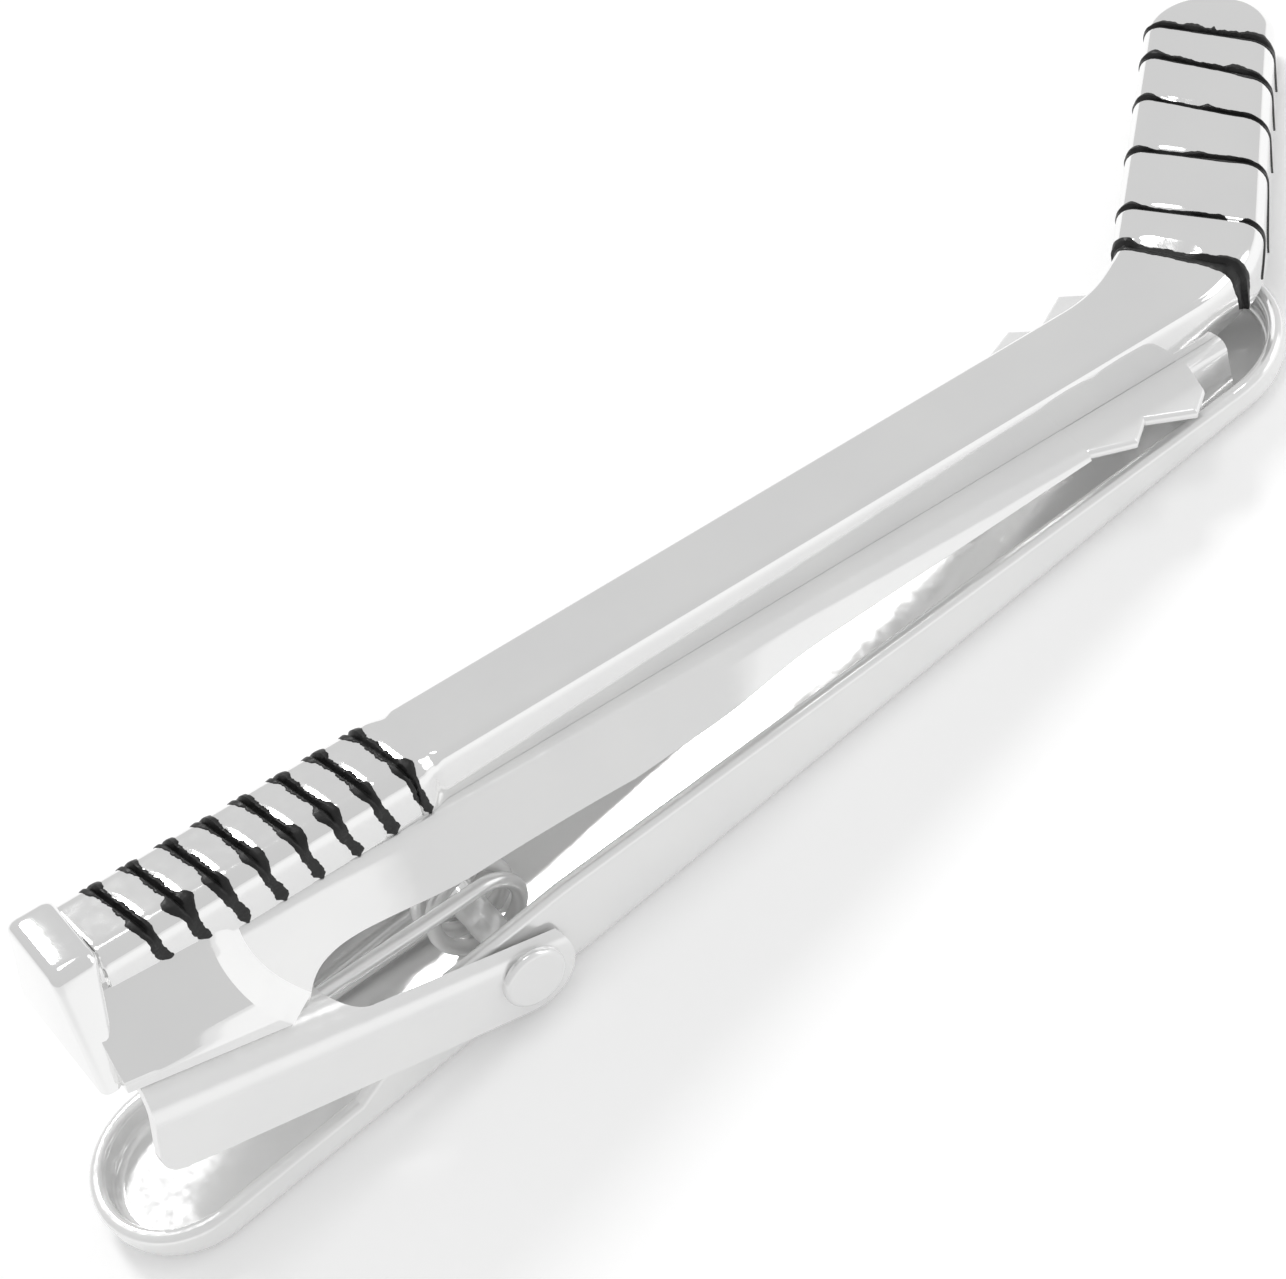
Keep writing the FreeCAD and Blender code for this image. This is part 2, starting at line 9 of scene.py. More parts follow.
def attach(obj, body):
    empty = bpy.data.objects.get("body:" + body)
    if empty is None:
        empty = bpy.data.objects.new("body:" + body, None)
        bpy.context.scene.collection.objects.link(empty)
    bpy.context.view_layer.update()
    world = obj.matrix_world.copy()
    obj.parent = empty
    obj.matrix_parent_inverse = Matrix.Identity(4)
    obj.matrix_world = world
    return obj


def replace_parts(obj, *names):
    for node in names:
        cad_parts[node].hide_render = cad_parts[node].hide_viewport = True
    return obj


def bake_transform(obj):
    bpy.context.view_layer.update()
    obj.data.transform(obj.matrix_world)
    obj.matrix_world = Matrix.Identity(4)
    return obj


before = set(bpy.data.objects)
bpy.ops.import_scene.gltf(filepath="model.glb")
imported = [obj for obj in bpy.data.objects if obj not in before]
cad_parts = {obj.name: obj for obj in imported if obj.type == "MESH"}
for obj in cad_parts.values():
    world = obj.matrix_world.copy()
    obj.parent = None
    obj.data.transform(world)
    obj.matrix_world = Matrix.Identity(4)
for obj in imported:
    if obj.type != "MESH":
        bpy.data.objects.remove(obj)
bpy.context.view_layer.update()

MM = 0.001

# Sizes of the clip, in millimetres and degrees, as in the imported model
HINGE = (-10.0, 2.05)
CLOSED_ANGLE = 11.95
BUTT_TO_HINGE = 15.6
KNOB_TO_HINGE = 10.05
SHAFT_HALF = 1.6
SHAFT_TOP = -0.5
SHAFT_BOTTOM = -2.55
SHAFT_ROUND = 0.4
GRIP_ROUND = 0.62
BLADE_ROUND = 0.7
SHAFT_START = 0.6
KNOB_HEIGHT = 5.0
KNOB_TOP_LENGTH = 1.9
KNOB_FOOT_LENGTH = 0.8
KNOB_TOP_HALF = 1.7
KNOB_FOOT_HALF = 3.05
KNOB_ROUND = 0.45
KNOB_DOME = 0.015
FOOT_START = 0.7
FOOT_HALF = 3.5
FOOT_CREASE_HALF = 1.75
BRACKET_BACK = 1.2
BRACKET_WEB_REACH = 7.4
WEB_SLOPE = math.tan(math.radians(12.74))
NOSE_BAND = 1.2
JAW_NOSE = 5.6
JAW_NOSE_HALF = 1.66
JAW_SPREAD = 0.0427
JAW_FLARE = 0.249
JAW_HEEL = 8.0
JAW_TAPER = 21.5
JAW_WALL_END = 41.65
JAW_TIP = 48.7
JAW_TIP_HALF = 2.1
TOOTH_COUNT = 2
TOOTH_PITCH = 2.5
TOOTH_HEIGHT = 0.7
TOOTH_SPREAD = 0.25
SHEET = 0.45
WIRE_RADIUS = 0.3
SPRING_RADIUS = 1.65
SPRING_PITCH = 1.05
SPRING_TURNS = 2
SPRING_LIFT = 0.55
SPRING_SEAT = 0.1
SPRING_REACH = 2.5
GRIP_START = 1.7
GRIP_END = 15.2
GRIP_LINES = 8
GRIP_FIRST = 3.4
GRIP_LAST = 13.83
GRIP_SLANT = 11.0
BLADE_CORNER = 46.4
BLADE_ANGLE = 46.6
BLADE_WIDTH = 5.35
BLADE_TOE_WIDTH = 4.6
BLADE_LENGTH = 15.5
BLADE_INNER_ROUND = 5.0
BLADE_HEEL_ROUND = 6.0
BLADE_TOE_ROUND = 1.3
BLADE_LINES = ((1.0, 15.0), (3.15, 10.0), (6.3, 10.0), (8.95, 16.0), (11.3, 17.0), (13.25, 13.0))
ENAMEL_WIDTH = 0.5
TAPE = 0.17
GROOVE = 0.05
GRIP_TAIL = 0.9
BEAD = 0.05

# Tape edges: the length in which they rise from a groove or fall to the next, and their reach past the toe
TAPE_RISE = 0.12
TAPE_FALL = 0.15
TAPE_PAST_TOE = 1.2

# Where the rounder edges of grip and blade begin and end, from the grip's end and from the first blade line
GRIP_EDGE = (-0.3, 0.1)
BLADE_EDGE = (-1.5, 0.5)
SHAFT_STATIONS = (24.0, 42.0)

# Bright facets after each tape line: slope, reach along the stick, middle and half length across it
FACET_START = 0.18
NO_FACET = (0.0, 0.0, 0.0, 1.0)
GRIP_FACETS = (NO_FACET,) + ((0.15, 0.22, 0.35, 1.0),) * GRIP_LINES
BLADE_FACETS = ((0.4, 0.5, -0.25, 0.8), (0.4, 0.2, -0.35, 0.5), (0.4, 0.22, -0.4, 0.5),
                (0.4, 0.22, -0.3, 0.55), NO_FACET, NO_FACET)

# Enamel lines: least half width, length of the tapered ends, depth in the groove, place where the near wall
# begins, and the waves of their uneven edges as (waves, share)
ENAMEL_LEAST = 0.05
ENAMEL_TAPER = 0.03
ENAMEL_DEPTH = 0.12
ENAMEL_WALL = 0.78
ENAMEL_WAVES = ((3, 0.5), (7, 0.35), (17, 0.25), (37, 0.15))

# The foot's crease and bend, each from a place along the stick with a height and a slope, and its nose
CREASE_START, CREASE_HEIGHT, CREASE_SLOPE = 1.6, -1.75, 0.077
BEND_START, BEND_RISE, BEND_SLOPE = 2.0, 0.98, 0.09
FOOT_LIP = 0.45
FOOT_LIP_ROUND = 0.2
FOOT_BEND_ROUND = 0.8
FOOT_LEAN = 0.56
NOSE_START = 5.5
NOSE_LEVEL = -3.0
NOSE_CURVE = 0.115
NOSE_RUN = 0.06

# The jaw's walls: depth at the heel and how it fades, the waist, the plain depth and its taper, the gap to
# the web, and the outward lean in degrees with the stretches in which it changes
HEEL_DEPTH, HEEL_FADE = 1.3, 0.6
WAIST_DEPTH, WAIST_LENGTH = 0.45, 11.0
WALL_DEPTH, WALL_TAPER = 2.05, 0.0844
WEB_GAP = 0.02
HEEL_LEAN = 14
WAIST_LEAN, WAIST_STRETCH = 15, (9.5, 15.0)
FRONT_LEAN, FRONT_STRETCH = 13, (25.0, 30.0)

# The toothed plate: half widths at its back and at the first tooth, the tooth's peak, its end and its edges
PLATE_LEAD = 1.2
PLATE_BACK_HALF = 2.6
PLATE_HALF = 3.2
TOOTH_PEAK = 0.65
PLATE_STEP = 0.35
PLATE_TAPER = 0.1
PLATE_ROUND = 0.18
PLATE_FLAT = 0.24

STICK = "stick"


def stick_matrix():
    """From the stick's own frame, in millimetres, to the world, in metres."""
    turn = Matrix.Rotation(math.radians(CLOSED_ANGLE), 4, "Y")
    place = Matrix.Translation((HINGE[0], 0, HINGE[1]))
    centre = Matrix.Translation((-BUTT_TO_HINGE, 0, KNOB_TO_HINGE))
    return Matrix.Scale(MM, 4) @ place @ turn @ centre


STICK_TO_WORLD = np.array(stick_matrix())


def to_world(points):
    points = np.asarray(points, float)
    return points @ STICK_TO_WORLD[:3, :3].T + STICK_TO_WORLD[:3, 3]


def smooth(low, high, value):
    t = np.clip((value - low) / (high - low), 0, 1)
    return t * t * (3 - 2 * t)


# Materials

CLOUD_SCALE = 260
GRAIN_SCALE = 2600
SWELL_SCALE = 420
ENAMEL_GRAIN_SCALE = 1800
ENAMEL_PIT_SCALE = 3200


def shader(name):
    material = bpy.data.materials.new(name)
    material.use_nodes = True
    nodes = material.node_tree.nodes
    return material, nodes, material.node_tree.links, nodes["Principled BSDF"]


def noise(nodes, links, scale, detail, rough=0.5):
    coords = nodes.new("ShaderNodeTexCoord")
    texture = nodes.new("ShaderNodeTexNoise")
    texture.inputs["Scale"].default_value = scale
    texture.inputs["Detail"].default_value = detail
    texture.inputs["Roughness"].default_value = rough
    links.new(coords.outputs["Object"], texture.inputs["Vector"])
    return texture.outputs["Fac"]


def ramp(nodes, links, value, low, high, first, last):
    node = nodes.new("ShaderNodeValToRGB")
    node.color_ramp.elements[0].position = low
    node.color_ramp.elements[1].position = high
    node.color_ramp.elements[0].color = (*first, 1)
    node.color_ramp.elements[1].color = (*last, 1)
    links.new(value, node.inputs["Fac"])
    return node.outputs["Color"]


def spread(nodes, links, value, low, high):
    node = nodes.new("ShaderNodeMapRange")
    node.inputs["From Min"].default_value = 0.3
    node.inputs["From Max"].default_value = 0.7
    node.inputs["To Min"].default_value = low
    node.inputs["To Max"].default_value = high
    links.new(value, node.inputs["Value"])
    return node.outputs["Result"]


def bump(nodes, links, value, strength, distance, before=None):
    node = nodes.new("ShaderNodeBump")
    node.inputs["Strength"].default_value = strength
    node.inputs["Distance"].default_value = distance
    links.new(value, node.inputs["Height"])
    if before:
        links.new(before, node.inputs["Normal"])
    return node.outputs["Normal"]


def silver_material(name, tone, rough, wave, metal):
    material, nodes, links, base = shader(name)
    cloud = noise(nodes, links, CLOUD_SCALE, 4)
    fine = noise(nodes, links, GRAIN_SCALE, 3)
    links.new(ramp(nodes, links, cloud, 0.3, 0.7, [tone * 0.97] * 3, [tone, tone, tone * 0.995]),
              base.inputs["Base Color"])
    base.inputs["Metallic"].default_value = metal
    links.new(spread(nodes, links, fine, rough * 0.7, rough * 1.3), base.inputs["Roughness"])
    swell = bump(nodes, links, noise(nodes, links, SWELL_SCALE, 2), wave, 0.0002)
    links.new(bump(nodes, links, fine, 0.03, 0.00005, swell), base.inputs["Normal"])
    return material


def enamel_material(name):
    material, nodes, links, base = shader(name)
    grain = noise(nodes, links, ENAMEL_GRAIN_SCALE, 4)
    links.new(ramp(nodes, links, grain, 0.35, 0.7, (0.006, 0.006, 0.006), (0.016, 0.016, 0.016)),
              base.inputs["Base Color"])
    links.new(spread(nodes, links, grain, 0.3, 0.5), base.inputs["Roughness"])
    base.inputs["Specular IOR Level"].default_value = 0.35
    pits = noise(nodes, links, ENAMEL_PIT_SCALE, 3)
    links.new(bump(nodes, links, pits, 0.35, 0.0001), base.inputs["Normal"])
    return material


SILVER = silver_material("polished_plate", 0.9, 0.08, 0.04, 0.88)
PRESSED = silver_material("pressed_plate", 0.93, 0.14, 0.12, 0.5)
WIRE_STEEL = silver_material("spring_wire", 0.95, 0.2, 0.1, 0.45)
ENAMEL = enamel_material("black_enamel")


# Mesh helpers

def make_object(name, points, faces, material, body=STICK, sharp=35):
    mesh = bpy.data.meshes.new(name)
    mesh.from_pydata([tuple(p) for p in points], [], faces)
    mesh.update()
    mesh.polygons.foreach_set("use_smooth", [True] * len(mesh.polygons))
    mesh.set_sharp_from_angle(angle=math.radians(sharp))
    mesh.materials.append(material)
    piece = bpy.data.objects.new(name, mesh)
    bpy.context.scene.collection.objects.link(piece)
    if body:
        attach(piece, body)
    return piece


def ring_faces(rows, columns):
    """Faces between rings of points, each ring closed."""
    faces = []
    for row in range(rows - 1):
        for column in range(columns):
            right = (column + 1) % columns
            faces.append((row * columns + column, row * columns + right,
                          (row + 1) * columns + right, (row + 1) * columns + column))
    return faces


def tube_faces(rows, columns):
    """The same, with a face over each end."""
    total = rows * columns
    ends = [tuple(range(columns)), tuple(range(total - 1, total - columns - 1, -1))]
    return ring_faces(rows, columns) + ends


# The stick's plan: two edges, paired at stations that follow the tape lines

def rounded_path(points, radii, step=0.05):
    """A polyline through the points with rounded corners, as dense points."""
    points = [np.array(p, float) for p in points]
    path = [points[0]]
    for index in range(1, len(points) - 1):
        corner = points[index]
        before = (points[index - 1] - corner) / np.linalg.norm(points[index - 1] - corner)
        after = (points[index + 1] - corner) / np.linalg.norm(points[index + 1] - corner)
        half = math.acos(float(np.clip(before @ after, -1, 1))) / 2
        radius = radii[index - 1]
        inward = (before + after) / np.linalg.norm(before + after)
        centre = corner + inward * radius / math.sin(half)
        start = corner + before * radius / math.tan(half) - centre
        end = corner + after * radius / math.tan(half) - centre
        turn = math.pi - 2 * half
        for t in np.linspace(0, 1, max(4, int(radius * turn / step))):
            blend = (math.sin((1 - t) * turn) * start + math.sin(t * turn) * end) / math.sin(turn)
            path.append(centre + blend)
    path.append(points[-1])
    return np.array(path)


class Edge:
    """A plan edge that can be read by the length along it."""

    def __init__(self, path):
        self.path = path
        steps = np.linalg.norm(np.diff(path, axis=0), axis=1)
        self.length = np.concatenate([[0], np.cumsum(steps)])

    def at(self, length):
        return np.stack([np.interp(length, self.length, self.path[:, 0]),
                         np.interp(length, self.length, self.path[:, 1])], axis=-1)

    def crossing(self, point, direction):
        """The length at which a line through the point crosses this edge, nearest to the point."""
        normal = np.array([-direction[1], direction[0]])
        side = (self.path - point) @ normal
        best = None
        for index in np.nonzero(side[:-1] * side[1:] <= 0)[0]:
            share = side[index] / (side[index] - side[index + 1])
            place = self.path[index] + share * (self.path[index + 1] - self.path[index])
            length = self.length[index] + share * (self.length[index + 1] - self.length[index])
            away = np.linalg.norm(place - point)
            if best is None or away < best[0]:
                best = (away, length)
        return best[1]


ALONG = np.array([math.cos(math.radians(BLADE_ANGLE)), math.sin(math.radians(BLADE_ANGLE))])
ACROSS = np.array([ALONG[1], -ALONG[0]])
CORNER = np.array([BLADE_CORNER, SHAFT_HALF])


def blade_point(along, across):
    return CORNER + along * ALONG + across * ACROSS


def plan_edges():
    toe = blade_point(BLADE_LENGTH, BLADE_TOE_WIDTH)
    root = blade_point(0, BLADE_WIDTH)
    heel = root + (root - toe) * (root[1] + SHAFT_HALF) / (toe[1] - root[1])
    tip = blade_point(BLADE_LENGTH, BLADE_TOE_WIDTH / 2)
    inner = rounded_path([(SHAFT_START, SHAFT_HALF), CORNER, blade_point(BLADE_LENGTH, 0), tip],
                         (BLADE_INNER_ROUND, BLADE_TOE_ROUND))
    outer = rounded_path([(SHAFT_START, -SHAFT_HALF), heel, toe, tip],
                         (BLADE_HEEL_ROUND, BLADE_TOE_ROUND))
    return Edge(inner), Edge(outer)


INNER, OUTER = plan_edges()


def grip_line_places():
    return np.linspace(GRIP_FIRST, GRIP_LAST, GRIP_LINES)


def control_stations():
    """Pairs of lengths along the two edges, and each pair's own number: tape lines keep their slant."""
    pairs = [(0.0, 0.0)]
    lean = math.tan(math.radians(GRIP_SLANT)) * SHAFT_HALF
    marks = {"grip": [], "blade": []}
    for place in grip_line_places():
        pairs.append((place - lean - SHAFT_START, place + lean - SHAFT_START))
        marks["grip"].append(len(pairs) - 1)
    pairs.append((GRIP_END - SHAFT_START, GRIP_END - SHAFT_START + lean / 2))
    pairs += [(place - SHAFT_START, place - SHAFT_START) for place in SHAFT_STATIONS]
    for along, slant in BLADE_LINES:
        middle = blade_point(along + ENAMEL_WIDTH / 2, BLADE_WIDTH / 2)
        turn = math.radians(BLADE_ANGLE - slant)
        direction = np.array([-math.sin(turn), math.cos(turn)])
        pairs.append((INNER.crossing(middle, direction), OUTER.crossing(middle, direction)))
        marks["blade"].append(len(pairs) - 1)
    end = BLADE_TOE_WIDTH / 2 - BLADE_TOE_ROUND
    pairs.append((INNER.length[-1] - end, OUTER.length[-1] - end))
    pairs = np.array(pairs)
    number = np.concatenate([[0], np.cumsum(np.diff(pairs.mean(axis=1)))])
    return pairs, number, marks


PAIRS, NUMBER, MARKS = control_stations()
GRIP_MARKS = NUMBER[MARKS["grip"]]
BLADE_MARKS = NUMBER[MARKS["blade"]]
LAST = NUMBER[-1]
GRIP_STOP = NUMBER[MARKS["grip"][-1] + 1]


def wrap_height(number, share, wall):
    """How far the tape stands out: each turn starts with a lens-shaped facet and ends in the next groove."""
    height = np.zeros_like(number + share)
    grip = np.concatenate([[GRIP_START - SHAFT_START], GRIP_MARKS, [GRIP_STOP]])
    blade = np.concatenate([BLADE_MARKS, [LAST + TAPE_PAST_TOE]])
    for marks, facets in ((grip, GRIP_FACETS), (blade, BLADE_FACETS)):
        for start, stop, (slope, reach, middle, spread) in zip(marks[:-1], marks[1:], facets):
            inside = (number >= start) & (number <= stop)
            lens = reach * np.maximum(1 - ((share - middle) / spread) ** 4, 0)
            facet = slope * np.maximum(lens - np.maximum(number - start - FACET_START, 0), 0)
            tail = GRIP_TAIL if stop == GRIP_STOP else TAPE_FALL
            sides = smooth(0, TAPE_RISE, number - start) * smooth(0, tail, stop - number)
            sides = sides if stop == GRIP_STOP else sides + (1 - sides) * wall
            groove = 0.0 if stop == GRIP_STOP else GROOVE
            height = np.where(inside, -groove + (TAPE + groove) * sides - facet * sides, height)
    lead = smooth(-TAPE_RISE, 0.0, number - BLADE_MARKS[0])
    before = (number < BLADE_MARKS[0]) & (number > BLADE_MARKS[0] - TAPE_RISE)
    return np.where(before, -GROOVE * lead, height)


def edge_round(number):
    """The radius of the stick's upper edges: softer on the taped grip and blade than on the shaft."""
    grip = 1 - smooth(*GRIP_EDGE, number - GRIP_STOP)
    blade = smooth(*BLADE_EDGE, number - BLADE_MARKS[0])
    return SHAFT_ROUND + (GRIP_ROUND - SHAFT_ROUND) * grip + (BLADE_ROUND - SHAFT_ROUND) * blade


def profile(count_wall=9, count_round=8, count_top=22):
    """Places round the section: share across, angle on the rounding, level on the wall, outward normal."""
    rows = []
    for t in np.linspace(0, 1, count_wall):
        rows.append((-1, 0.0, t, -1.0, 0.0))
    for angle in np.linspace(0, math.pi / 2, count_round + 1)[1:]:
        rows.append((-1, angle, 1.0, -math.cos(angle), math.sin(angle)))
    for t in np.linspace(-1, 1, count_top)[1:-1]:
        rows.append((t, math.pi / 2, 1.0, 0.0, 1.0))
    for angle in np.linspace(math.pi / 2, 0, count_round + 1)[:-1]:
        rows.append((1, angle, 1.0, math.cos(angle), math.sin(angle)))
    for t in np.linspace(1, 0, count_wall):
        rows.append((1, 0.0, t, 1.0, 0.0))
    return np.array(rows)


def surface(number, rows, extra=0.0):
    """Points of the stick at stations (n) and profile rows (n by 5, or shared), in the stick's frame."""
    number = np.asarray(number, float)
    inner = INNER.at(np.interp(number, NUMBER, PAIRS[:, 0]))
    outer = OUTER.at(np.interp(number, NUMBER, PAIRS[:, 1]))
    middle = (inner + outer) / 2
    half = np.linalg.norm(outer - inner, axis=-1) / 2
    across = (outer - inner) / (2 * half)[:, None]
    share, angle, level, normal_across, normal_up = np.moveaxis(rows, -1, 0)
    if rows.ndim == 2 and len(rows) != len(number):
        number, half = number[:, None], half[:, None]
        middle, across = middle[:, None, :], across[:, None, :]
    offset = wrap_height(number, share, np.cos(angle) ** 2) + extra
    radius = edge_round(number)
    drop = np.clip(SHAFT_ROUND - (LAST - number), 0, SHAFT_ROUND)
    drop = SHAFT_ROUND - np.sqrt(np.maximum(SHAFT_ROUND ** 2 - drop ** 2, 0))
    top = SHAFT_TOP - drop
    flat = half - radius
    side = np.where(np.abs(share) == 1, np.sign(share) * (flat + radius * np.cos(angle)), share * flat)
    low = top - radius
    height = SHAFT_BOTTOM + level * (low - SHAFT_BOTTOM) + radius * np.sin(angle)
    side = side + normal_across * offset
    height = height + normal_up * offset
    place = middle + across * side[..., None]
    return np.concatenate([place, (height + 0 * side)[..., None]], axis=-1)


def make_stick():
    plain = np.arange(GRIP_STOP + 0.6, BLADE_MARKS[0] - 1.0, 0.35)
    stations = np.unique(np.concatenate([
        np.arange(0, GRIP_STOP + 0.6, 0.06), plain,
        np.arange(BLADE_MARKS[0] - 1.0, LAST - 0.4, 0.07),
        LAST - SHAFT_ROUND + SHAFT_ROUND * np.sin(np.linspace(0, math.pi / 2, 10)),
    ]))
    rows = profile()
    points = surface(stations, rows).reshape(-1, 3)
    return make_object("stick_body", to_world(points), tube_faces(len(stations), len(rows)), SILVER)


def ragged(rng, count, size, rough):
    """A rough outline of an enamel edge: a few sizes of waves with random phases."""
    t = np.linspace(0, 1, count)
    value = np.zeros(count)
    for waves, share in ENAMEL_WAVES:
        value += share * np.sin(2 * math.pi * (waves * t + rng.random()))
    return size * (1 + rough * value)


def make_line(name, mark, seed, edges, bumps, drift=0.0, span=(0.0, 1.0)):
    """One enamel line: a ragged bead in the groove, from one lower edge, over the top, to the other.

    Edges are (half width, roughness) behind and ahead of the groove, and bumps are (place, spread, reach
    behind, reach ahead).
    """
    rng = random.Random(seed)
    rows = profile(28, 14, 60)
    t = np.linspace(0, 1, len(rows))
    sides = [ragged(rng, len(rows), half, rough) for half, rough in edges]
    for place, reach, *swells in bumps:
        swell = np.exp(-((t - place) / reach) ** 2)
        sides = [side + size * swell for side, size in zip(sides, swells)]
    kept = (t >= span[0]) & (t <= span[1])
    rows, t = rows[kept], t[kept]
    ends = np.minimum(smooth(0, ENAMEL_TAPER, t - span[0]), smooth(0, ENAMEL_TAPER, span[1] - t))
    left, right = (np.maximum(side[kept], ENAMEL_LEAST) * (0.3 + 0.7 * ends) for side in sides)
    middle = mark + drift * smooth(ENAMEL_WALL, 1.0, t)
    shares = np.linspace(-1, 1, 11)
    ring = []
    for share in shares:
        rise = BEAD * math.sqrt(max(1 - share ** 2, 0)) - 0.01 * abs(share)
        ring.append(surface(middle + np.where(share < 0, left, right) * share, rows, rise))
    for share in shares[::-1]:
        ring.append(surface(middle + np.where(share < 0, left, right) * share * 0.9, rows,
                            -ENAMEL_DEPTH))
    points = np.swapaxes(np.array(ring), 0, 1).reshape(-1, 3)
    faces = tube_faces(len(rows), len(ring))
    return make_object(name, to_world(points), faces, ENAMEL)


# The knob at the butt end and the foot under the grip

def rounded_rectangle(back, front, half, radius, steps=6):
    """A closed outline, in plan, of a rectangle with rounded corners."""
    corners = ((front - radius, half - radius), (back + radius, half - radius),
               (back + radius, radius - half), (front - radius, radius - half))
    outline = []
    for quarter, (x, y) in enumerate(corners):
        for angle in np.linspace(quarter, quarter + 1, steps) * math.pi / 2:
            outline.append((x + radius * math.cos(angle), y + radius * math.sin(angle)))
    return outline


def make_knob():
    """A block that widens downwards, with a soft top edge and a slightly domed top."""
    levels = [(z, 0.0) for z in np.linspace(-KNOB_HEIGHT, -KNOB_DOME - KNOB_ROUND, 12)]
    for angle in np.linspace(0, math.pi / 2, 9)[1:]:
        levels.append((-KNOB_DOME - KNOB_ROUND * (1 - math.sin(angle)),
                       KNOB_ROUND * (1 - math.cos(angle))))
    inside = KNOB_TOP_LENGTH / 2 - 0.05
    for share in np.linspace(0, 1, 7)[1:]:
        levels.append((-KNOB_DOME * (1 - share) ** 2, KNOB_ROUND + share * (inside - KNOB_ROUND)))
    points = []
    for z, inset in levels:
        rise = (z + KNOB_HEIGHT) / KNOB_HEIGHT
        length = KNOB_FOOT_LENGTH + rise * (KNOB_TOP_LENGTH - KNOB_FOOT_LENGTH)
        half = KNOB_FOOT_HALF + rise * (KNOB_TOP_HALF - KNOB_FOOT_HALF)
        radius = min(0.35, (length - 2 * inset) / 2.2)
        points += [(x, y, z) for x, y in rounded_rectangle(inset, length - inset, half - inset, radius)]
    width = len(points) // len(levels)
    faces = ring_faces(len(levels), width)
    faces.append(tuple(range(width - 1, -1, -1)))
    faces.append(tuple(range(len(points) - width, len(points))))
    return make_object("butt_knob", to_world(points), faces, SILVER)


def web_height(x):
    return -KNOB_HEIGHT - (x - BRACKET_BACK) * WEB_SLOPE


def foot_profile(x, count):
    """Half of the foot's section: from the lip on the bracket, up the flare and the face to the crease."""
    low = web_height(x)
    crease = CREASE_HEIGHT - CREASE_SLOPE * (x - CREASE_START)
    bend = low + BEND_RISE + BEND_SLOPE * (x - BEND_START)
    path = Edge(rounded_path([(FOOT_HALF, low), (FOOT_HALF, low + FOOT_LIP),
                              (FOOT_CREASE_HALF + FOOT_LEAN * (crease - bend), bend),
                              (FOOT_CREASE_HALF, crease)], (FOOT_LIP_ROUND, FOOT_BEND_ROUND)))
    return path.at(np.linspace(0, path.length[-1], count))


def nose_start(z):
    """Where the foot's face ends at a height: a curve that runs forward towards the bracket."""
    below = np.maximum(NOSE_LEVEL - z, 0)
    return NOSE_START + NOSE_CURVE * below ** 2 + NOSE_RUN * below


def jaw_half(x, z):
    """The half width of the jaw's outside at a place and height."""
    return JAW_NOSE_HALF + JAW_SPREAD * (x - JAW_NOSE) + JAW_FLARE * np.maximum(SHAFT_BOTTOM - z, 0)


def make_foot(count=30, steps=14, band=5):
    """The casting's foot: it flares from the grip to the bracket and turns in to the jaw in a band."""
    ends = np.full(count, 6.0)
    for _ in range(4):
        heights = [foot_profile(x, count)[level][1] for level, x in enumerate(ends)]
        ends = nose_start(np.array(heights))
    stations = []
    for share in np.linspace(0, 1, steps):
        row = []
        for level, end in enumerate(ends):
            x = FOOT_START + share * (end - FOOT_START)
            y, z = foot_profile(x, count)[level]
            row.append((x, y, z))
        stations.append(np.array(row))
    face = stations[-1]
    for share in np.linspace(0, 1, band)[1:]:
        x = face[:, 0] + NOSE_BAND * share
        inner = jaw_half(face[:, 0] + NOSE_BAND, face[:, 2])
        stations.append(np.stack([x, face[:, 1] + share * (inner - face[:, 1]), face[:, 2]], axis=-1))
    rows = np.array(stations)
    loop = np.concatenate([rows, rows[:, ::-1] * (1, -1, 1)], axis=1)
    width = 2 * count
    faces = ring_faces(len(rows), width)
    last = (len(rows) - 1) * width
    for level in range(count - 1):
        other = width - 1 - level
        faces.append((level, level + 1, other - 1, other))
        faces.append((last + level, last + other, last + other - 1, last + level + 1))
    return make_object("grip_foot", to_world(loop.reshape(-1, 3)), faces, SILVER, sharp=14)


# The upper jaw: a widening channel, a toothed plate and a tip that stands on the tray

def floor_height(x):
    """The tray floor's height in the stick's frame."""
    rows = STICK_TO_WORLD[2]
    return ((SHEET + 0.03) * MM - rows[0] * x - rows[3]) / rows[2]


def jaw_depth(x):
    """How far the jaw's walls reach below the shaft: deep at the bracket, then a long taper to the teeth."""
    heel = HEEL_DEPTH * np.exp(-np.maximum(x - JAW_HEEL, 0) / HEEL_FADE)
    waist = WAIST_DEPTH * np.maximum((JAW_TAPER - x) / WAIST_LENGTH, 0) ** 2
    taper = WALL_DEPTH - WALL_TAPER * np.maximum(x - JAW_TAPER, 0)
    return np.minimum(heel + waist + taper, SHAFT_BOTTOM - web_height(x) - WEB_GAP)


def jaw_lean(x):
    """The outward lean of the walls, in degrees."""
    return HEEL_LEAN + WAIST_LEAN * smooth(*WAIST_STRETCH, x) - FRONT_LEAN * smooth(*FRONT_STRETCH, x)


